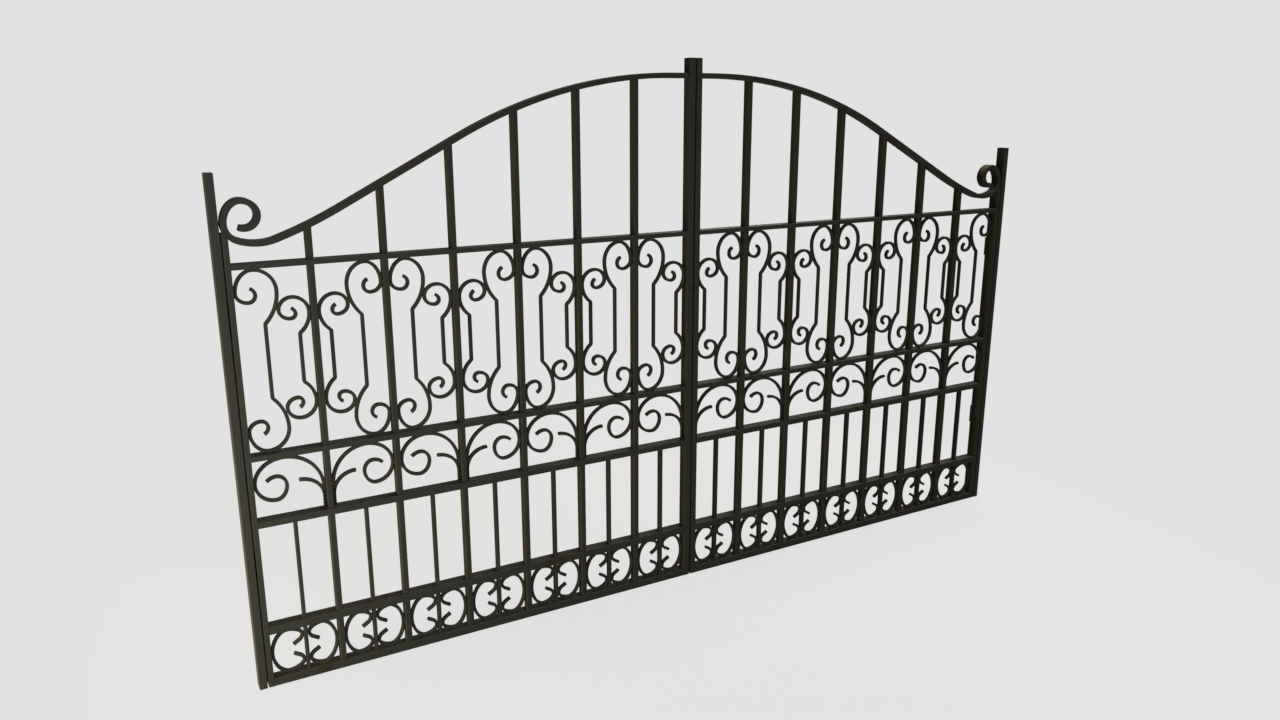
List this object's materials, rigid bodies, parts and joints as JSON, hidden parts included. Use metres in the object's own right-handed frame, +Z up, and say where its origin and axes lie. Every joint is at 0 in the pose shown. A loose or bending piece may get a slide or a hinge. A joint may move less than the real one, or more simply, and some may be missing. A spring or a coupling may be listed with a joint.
{
  "type": "driveway gate",
  "caption": "Wrought-iron driveway gate: a pair of hinged leaves with an arched top rail, upright bars and scrollwork panels, hung between slim flat-bar posts.",
  "frame": {"origin": "middle of the left post's foot, on the ground line", "axes": "+Z up, +X along the closed gate from the left post to the right one, +Y to the back, so the front looks along -Y"},
  "size_m": [3.7495, 0.0715, 2.2705],
  "materials": {
    "frame_paint": "dark bronze-black paint, satin, worn along the arrises",
    "arch_paint": "dark bronze-black paint, satin, on a bent flat bar",
    "bar_paint": "dark bronze-black paint, satin",
    "scroll_iron": "dark paint over forged bar, slightly uneven",
    "hinge_iron": "dark paint, rubbed at the knuckles"
  },
  "bodies": {
    "posts": {"left_post": "frame_paint", "right_post": "frame_paint", "left_hinge_pins": "hinge_iron", "right_hinge_pins": "hinge_iron"},
    "left_leaf": {"left_hanging_stile": "frame_paint", "left_meeting_stile": "frame_paint", "left_bottom_rail": "frame_paint", "left_kick_rail": "frame_paint", "left_lower_rail": "frame_paint", "left_middle_rail": "frame_paint", "left_upper_rail": "frame_paint", "left_arch_rail": "arch_paint", "left_tall_bars": "bar_paint", "left_thin_bars": "bar_paint", "left_large_scrolls": "scroll_iron", "left_small_scrolls": "scroll_iron", "left_palmettes": "scroll_iron", "left_c_scrolls": "scroll_iron", "left_hinge_eyes": "hinge_iron"},
    "right_leaf": {"right_hanging_stile": "frame_paint", "right_meeting_stile": "frame_paint", "right_bottom_rail": "frame_paint", "right_kick_rail": "frame_paint", "right_lower_rail": "frame_paint", "right_middle_rail": "frame_paint", "right_upper_rail": "frame_paint", "right_arch_rail": "arch_paint", "right_tall_bars": "bar_paint", "right_thin_bars": "bar_paint", "right_large_scrolls": "scroll_iron", "right_small_scrolls": "scroll_iron", "right_palmettes": "scroll_iron", "right_c_scrolls": "scroll_iron", "right_hinge_eyes": "hinge_iron"}
  },
  "joints": [
    {"name": "left_leaf_hinge", "type": "hinge", "parent": "posts", "child": "left_leaf", "pos_m": [0.0165, 0.0365, 0], "axis": [0, 0, 1], "range_deg": [0, 90]},
    {"name": "right_leaf_hinge", "type": "hinge", "parent": "posts", "child": "right_leaf", "pos_m": [3.705, 0.0365, 0], "axis": [0, 0, -1], "range_deg": [0, 90]}
  ]
}
